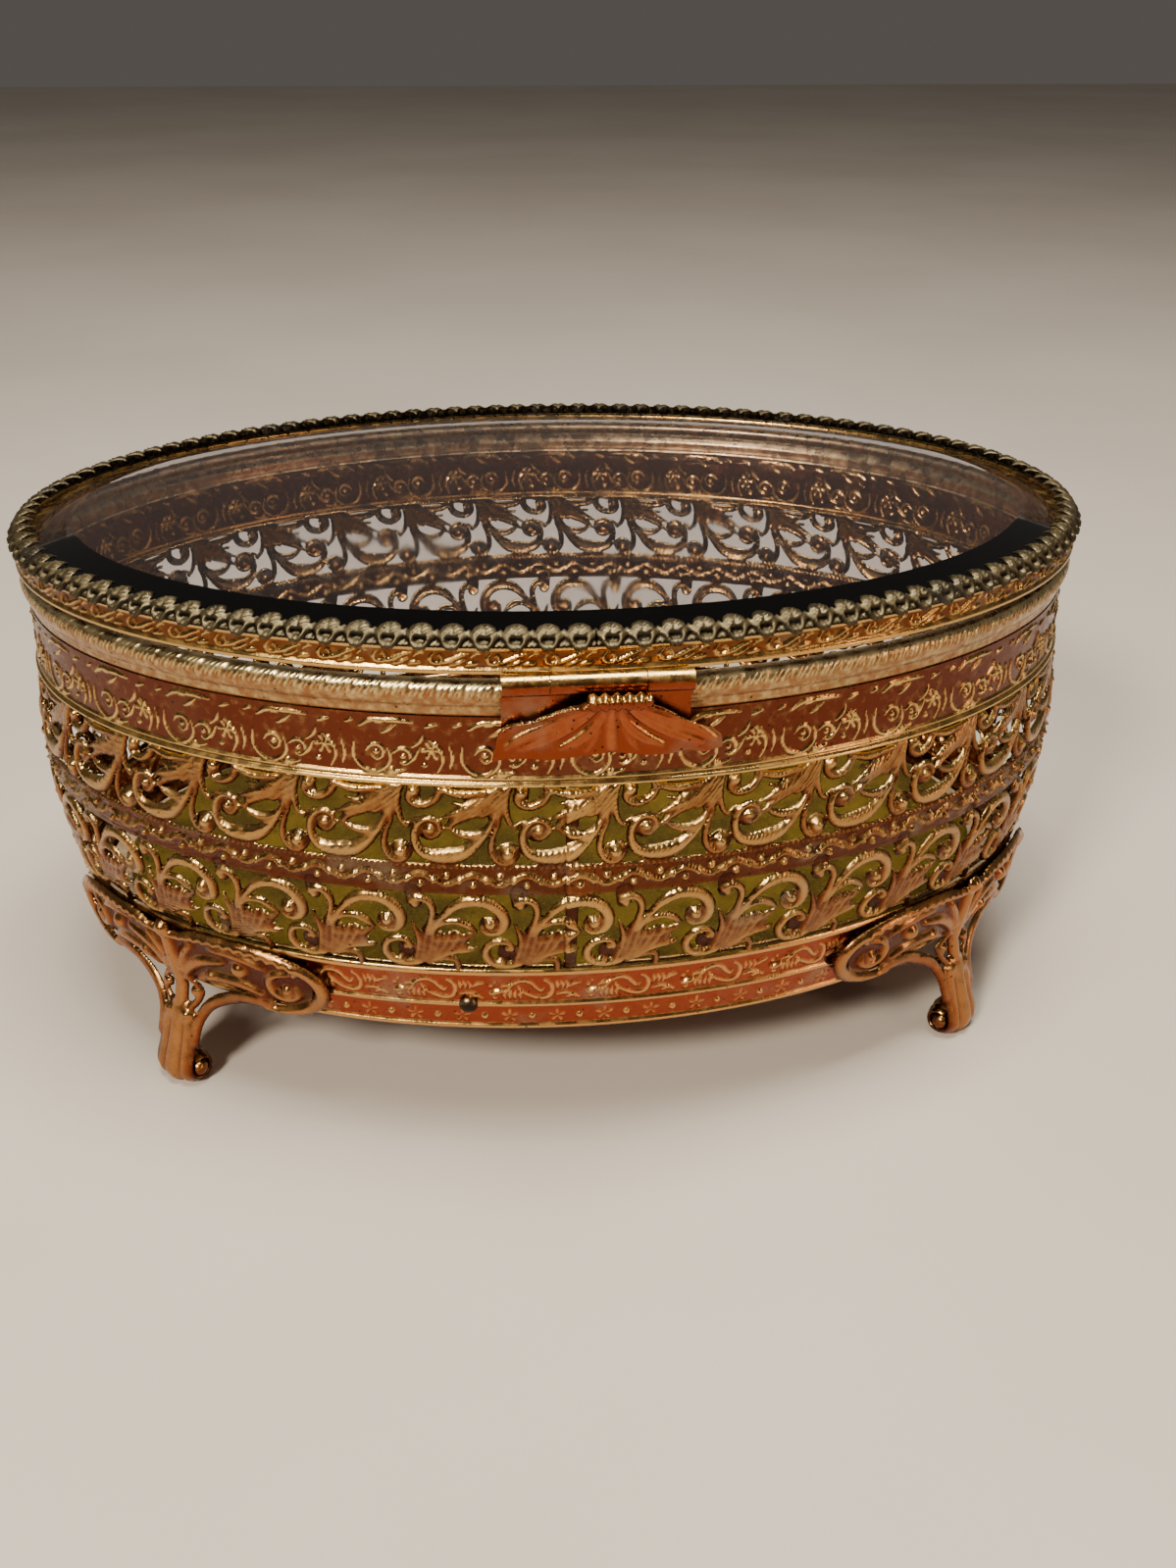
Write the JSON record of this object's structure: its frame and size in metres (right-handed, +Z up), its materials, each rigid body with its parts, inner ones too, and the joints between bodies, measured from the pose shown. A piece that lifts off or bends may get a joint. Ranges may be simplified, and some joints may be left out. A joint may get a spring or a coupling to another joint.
{
  "type": "vanity trinket box",
  "caption": "Oval gilt filigree casket on four scrolled feet, with a hinged lid of bevelled glass and a padded floor.",
  "frame": {"origin": "centre of the oval on the surface that the feet stand on", "axes": "+Z up, X along the oval's long axis, +Y towards the hinge at the back"},
  "size_m": [0.18, 0.138, 0.0892],
  "materials": {
    "gilt_brass": "pressed and gilded, copper-red in the hollows, pale gold on the high places",
    "aged_gilt": "gilding worn to a greyish gold",
    "dark_brass": "darkened rivet heads",
    "pin_brass": "drawn wire",
    "bevelled_glass": "polished, wide bevel",
    "gold_velvet": "short-pile velvet",
    "card": "plain stiff card"
  },
  "bodies": {
    "casket": {"base_band": "gilt_brass", "filigree_wall": "gilt_brass", "collar_band": "gilt_brass", "rim_bead": "aged_gilt", "floor_plate": "gilt_brass", "floor_rivets": "dark_brass", "pad_board": "card", "lining_pad": "gold_velvet", "hinge_body_leaf": "gilt_brass", "hinge_pin": "pin_brass", "lid_rest_leaf": "gilt_brass", "leg_back_right": "gilt_brass", "leg_back_left": "gilt_brass", "leg_front_left": "gilt_brass", "leg_front_right": "gilt_brass"},
    "lid": {"lid_band": "gilt_brass", "glass_seat_ring": "gilt_brass", "lid_glass": "bevelled_glass", "lid_bezel": "aged_gilt", "hinge_lid_leaf": "gilt_brass"}
  },
  "joints": [
    {"name": "lid_hinge", "type": "hinge", "parent": "casket", "child": "lid", "pos_m": [0, 0.06725, 0.08245], "axis": [-1, 0, 0], "range_deg": [0, 105]}
  ]
}
